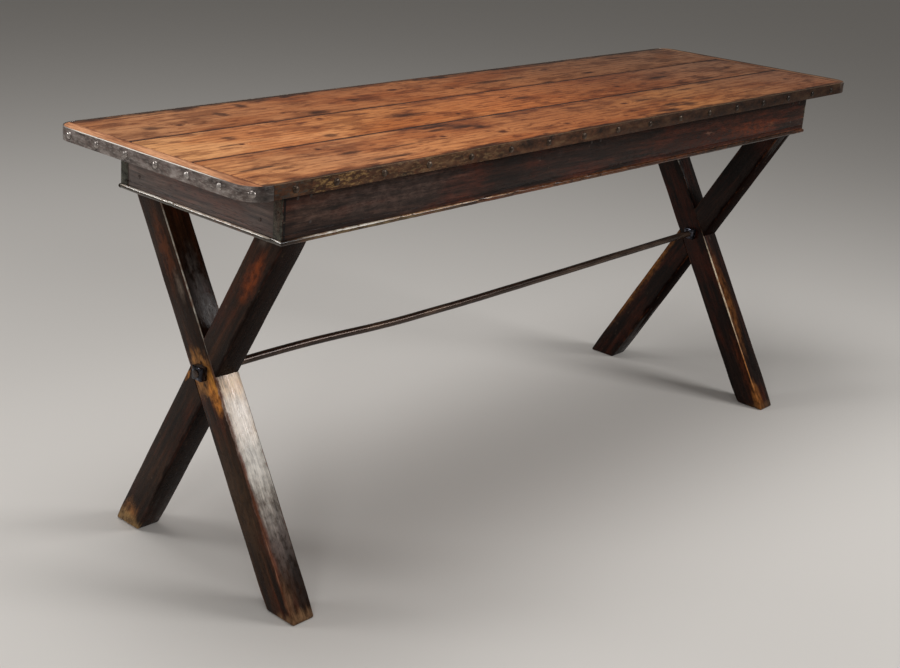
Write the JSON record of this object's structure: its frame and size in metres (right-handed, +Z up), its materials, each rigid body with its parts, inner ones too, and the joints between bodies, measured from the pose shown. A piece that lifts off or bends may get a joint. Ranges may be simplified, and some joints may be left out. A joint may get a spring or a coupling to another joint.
{
  "type": "tavern table",
  "caption": "Long narrow tavern table: boarded pine top with an iron edge band, moulded apron, halved X-frame legs and a bent iron tie rod.",
  "frame": {"origin": "on the floor under the middle of the table", "axes": "+X along the table to its right end, +Y to its back, +Z up out of the table top"},
  "size_m": [1.807, 0.521, 0.78],
  "materials": {
    "pine_top": "scrubbed and waxed pine",
    "iron_band": "patinated hoop iron",
    "iron_nails": "worn dome-headed nails",
    "dark_wood": "dark stained, waxed pine",
    "moulding_wood": "dark stained, worn at the nose",
    "bare_pine": "unfinished, aged pine",
    "leg_wood": "dark stained, worn at the arrises",
    "iron_rod": "blackened wrought iron",
    "iron_fixings": "dark iron screws and cut nails"
  },
  "bodies": {
    "root": {"apron_board_back": "dark_wood", "apron_board_front": "dark_wood", "apron_board_left": "dark_wood", "apron_board_right": "dark_wood", "apron_nails_back": "iron_fixings", "apron_nails_front": "iron_fixings", "apron_nails_left": "iron_fixings", "apron_nails_right": "iron_fixings", "band_nails_back": "iron_nails", "band_nails_front": "iron_nails", "band_nails_left": "iron_nails", "band_nails_right": "iron_nails", "edge_band_back": "iron_band", "edge_band_front": "iron_band", "edge_band_left": "iron_band", "edge_band_right": "iron_band", "end_bearer_left": "bare_pine", "end_bearer_right": "bare_pine", "end_clamp_left": "pine_top", "end_clamp_right": "pine_top", "leg_left_inner": "leg_wood", "leg_left_outer": "leg_wood", "leg_right_inner": "leg_wood", "leg_right_outer": "leg_wood", "leg_screws": "iron_fixings", "middle_bearer": "bare_pine", "moulding_back": "moulding_wood", "moulding_brads": "iron_fixings", "moulding_front": "moulding_wood", "moulding_left": "moulding_wood", "moulding_right": "moulding_wood", "tie_rod": "iron_rod", "tie_rod_nuts": "iron_rod", "top_board_back": "pine_top", "top_board_front": "pine_top", "top_board_middle": "pine_top", "top_screws": "iron_fixings"}
  },
  "joints": []
}
